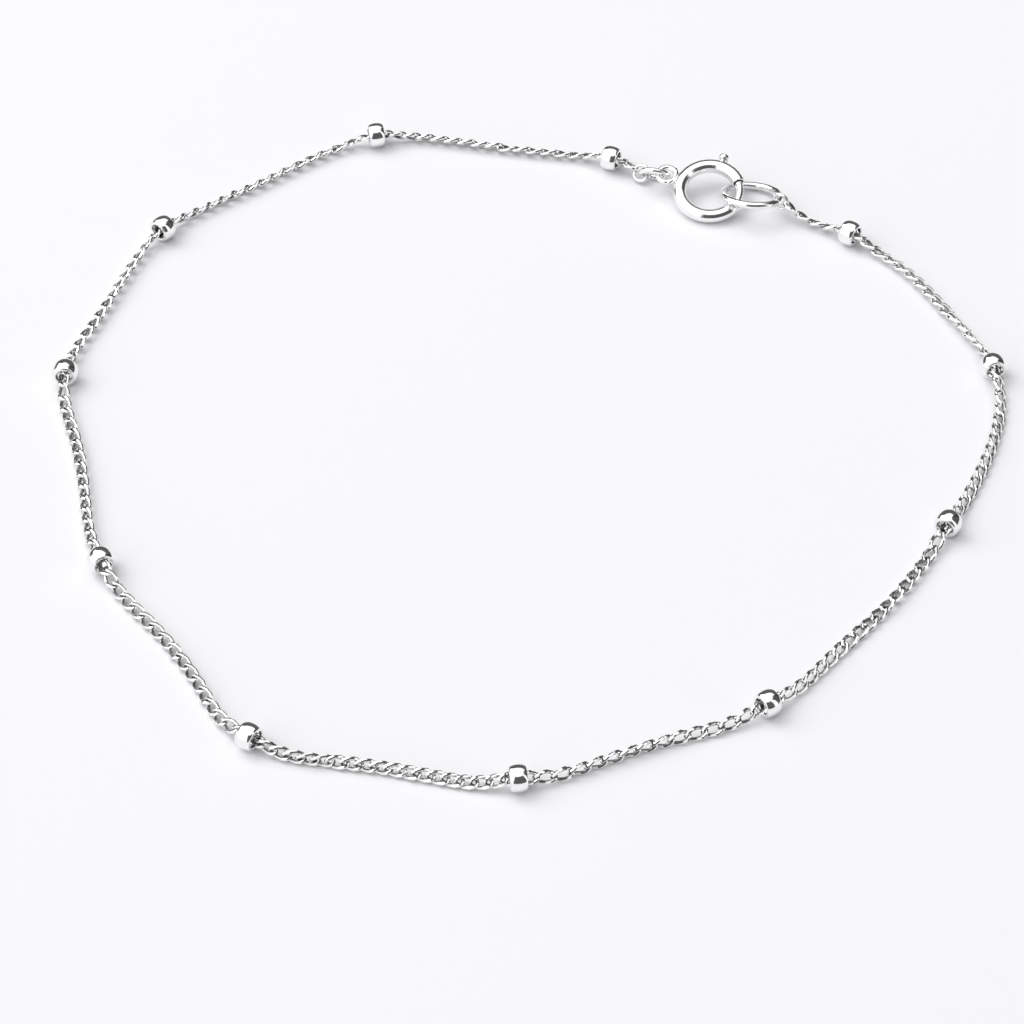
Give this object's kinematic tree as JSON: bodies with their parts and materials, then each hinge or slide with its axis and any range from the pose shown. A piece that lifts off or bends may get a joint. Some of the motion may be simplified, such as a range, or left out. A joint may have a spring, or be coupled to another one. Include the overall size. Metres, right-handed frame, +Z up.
{
  "type": "satellite chain bracelet",
  "caption": "Fine silver curb chain bracelet with small drilled beads spaced along it, closed by a spring ring clasp and lying as an open loop.",
  "frame": {"origin": "on the surface that the bracelet lies on, at the middle of its bounding box", "axes": "+Z up; +X to the right of the picture's view; +Y away from the viewer, with the clasp at the back right"},
  "size_m": [0.0632, 0.0618, 0.0023],
  "materials": {
    "chain_silver": "polished fine silver wire, darker between the links",
    "bead_silver": "high polish with crisp bright rims",
    "clasp_silver": "polished silver tube with fine handling scratches",
    "latch_silver": "polished silver wire, rubbed where it slides",
    "ring_silver": "polished round silver wire"
  },
  "bodies": {
    "root": {"chain": "chain_silver", "bead_1": "bead_silver", "bead_2": "bead_silver", "bead_3": "bead_silver", "bead_4": "bead_silver", "bead_5": "bead_silver", "bead_6": "bead_silver", "bead_7": "bead_silver", "bead_8": "bead_silver", "bead_9": "bead_silver", "bead_10": "bead_silver", "bead_11": "bead_silver", "clasp_ring": "clasp_silver", "end_ring": "ring_silver", "jump_ring": "ring_silver"},
    "latch": {"clasp_latch": "latch_silver"}
  },
  "joints": [
    {"name": "latch_turn", "type": "hinge", "parent": "root", "child": "latch", "pos_m": [0.01261, 0.02363, 0.00108], "axis": [-0.0452, -0.2702, 0.9617], "range_deg": [0, 53], "stiffness_Nm_per_rad": 0.0003, "springref_deg": -11.46}
  ]
}
